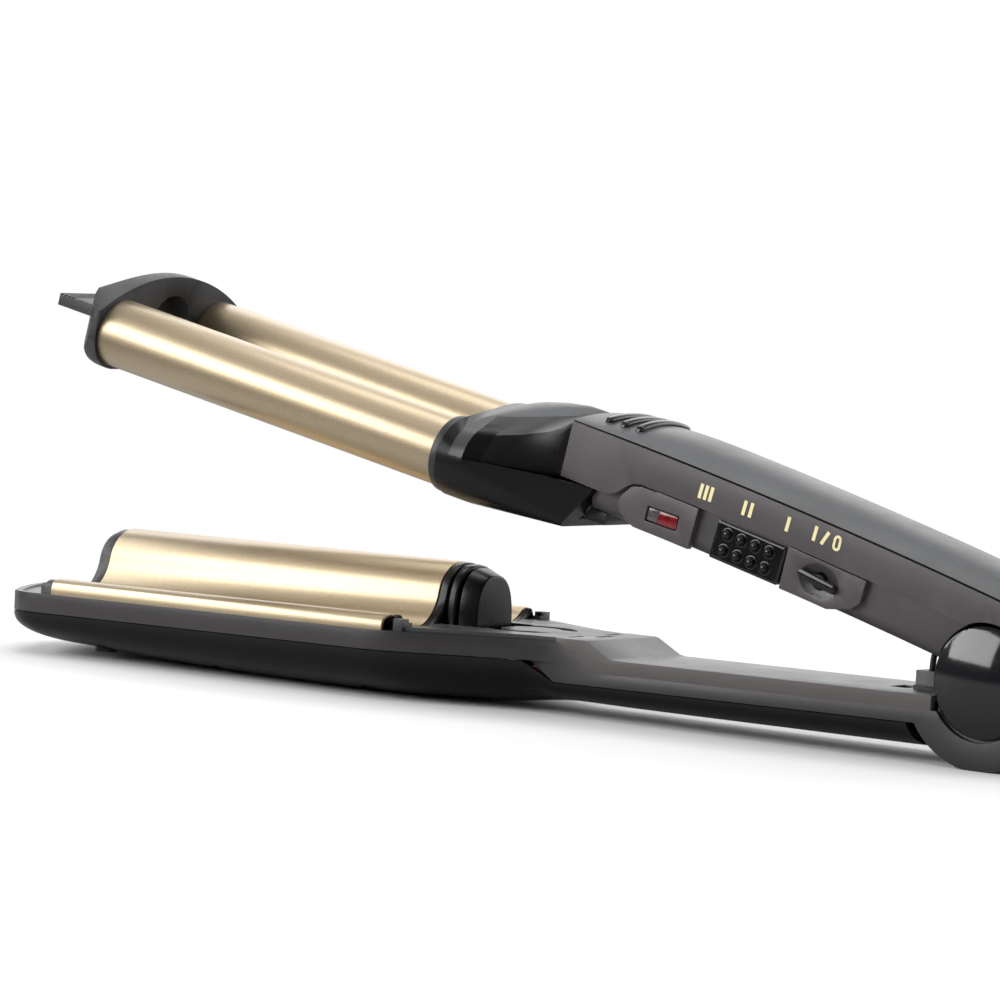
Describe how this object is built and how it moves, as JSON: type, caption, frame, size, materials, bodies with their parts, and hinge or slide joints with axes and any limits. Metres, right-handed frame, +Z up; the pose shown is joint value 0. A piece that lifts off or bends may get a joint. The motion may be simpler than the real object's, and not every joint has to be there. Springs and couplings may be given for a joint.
{
  "type": "hair crimper",
  "caption": "Deep-wave hair crimper: twin heated barrels on a sprung upper arm close over a ridged heated plate on the lower arm; sliding heat switch, power knob, swivel cord stub.",
  "frame": {"origin": "on the rest plane, straight under the middle of the hinge pin's axis, at the middle of the land under the hinge housing", "axes": "arms run towards -X, the hinge pin lies along Y with the controls on the -Y side, +Z up with the lower arm on its two rest faces and the arms sprung open"},
  "size_m": [0.4345, 0.0784, 0.1127],
  "materials": {
    "gold_barrel": "satin champagne-gold ceramic coating",
    "gloss_black": "high gloss black",
    "shell_mauve": "satin mauve-grey metallic",
    "shell_dark": "satin dark grey",
    "cover_grey": "satin grey-black",
    "heatproof_black": "heat-resistant moulding, light sheen",
    "cap_charcoal": "matte charcoal, fine texture",
    "carrier_black": "plain moulded",
    "spreader_alu": "extruded",
    "ceramic_white": "unglazed ceramic",
    "lamp_clear": "clear window",
    "lamp_red": "translucent red",
    "board_green": "solder-resist green",
    "mark_cream": "printed cream-gold ink",
    "steel": "bright steel",
    "washer_nylon": "natural nylon",
    "wire_red": "silicone insulation",
    "wire_white": "silicone insulation",
    "cord_black": "soft black"
  },
  "bodies": {
    "lower_arm": {"lower_hull": "gloss_black", "lower_frame": "shell_mauve", "deck_cover": "cover_grey", "wave_plate": "gold_barrel", "crest_spreader": "spreader_alu", "crest_heater": "ceramic_white", "plate_carrier": "carrier_black", "front_wall": "heatproof_black", "rear_guard": "heatproof_black", "lip_clips": "heatproof_black", "sleeve_post": "heatproof_black", "plate_leads": "wire_red", "hull_screws": "steel", "hinge_pin": "steel", "hinge_cap_near": "gloss_black", "hinge_cap_far": "gloss_black", "torsion_spring": "steel", "hinge_washers": "washer_nylon"},
    "upper_arm": {"lower_shell": "shell_dark", "side_band": "shell_mauve", "top_cover": "cover_grey", "grip_ribs": "gloss_black", "neck_upper": "heatproof_black", "neck_lower": "gloss_black", "stop_bumper": "heatproof_black", "collar_near": "heatproof_black", "collar_far": "heatproof_black", "barrel_near": "gold_barrel", "barrel_far": "gold_barrel", "spreader_near": "spreader_alu", "spreader_far": "spreader_alu", "heater_near": "ceramic_white", "heater_far": "ceramic_white", "thermal_fuse": "ceramic_white", "front_cap": "cap_charcoal", "lamp_panel": "shell_dark", "lamp_lens_clear": "lamp_clear", "lamp_lens_red": "lamp_red", "neon_lamp": "lamp_clear", "knob_panel": "shell_dark", "power_switch": "carrier_black", "slide_switch": "carrier_black", "circuit_board": "board_green", "setting_marks": "mark_cream", "barrel_leads": "wire_white", "wire_sleeve": "cord_black", "shell_screws": "steel"},
    "heat_slide": {"slider_pad": "gloss_black"},
    "knob": {"power_knob": "carrier_black"},
    "cord": {"cord_swivel": "cord_black", "strain_relief": "cord_black", "mains_cord": "cord_black"}
  },
  "joints": [
    {"name": "arm_hinge", "type": "hinge", "parent": "lower_arm", "child": "upper_arm", "pos_m": [0, 0, 0.0234], "axis": [0, 1, 0], "range_deg": [-12, 0], "stiffness_Nm_per_rad": 0.9, "springref_deg": 40.11},
    {"name": "heat_select", "type": "slide", "parent": "upper_arm", "child": "heat_slide", "axis": [-0.9682, 0, 0.2501], "range_m": [0, 0.005]},
    {"name": "power_turn", "type": "hinge", "parent": "upper_arm", "child": "knob", "pos_m": [-0.05287, -0.0177, 0.04536], "axis": [0, -1, 0], "range_deg": [0, 40]},
    {"name": "cord_turn", "type": "hinge", "parent": "upper_arm", "child": "cord", "pos_m": [0.02728, 0, 0.027], "axis": [0.9796, 0, -0.2008], "continuous": true}
  ]
}
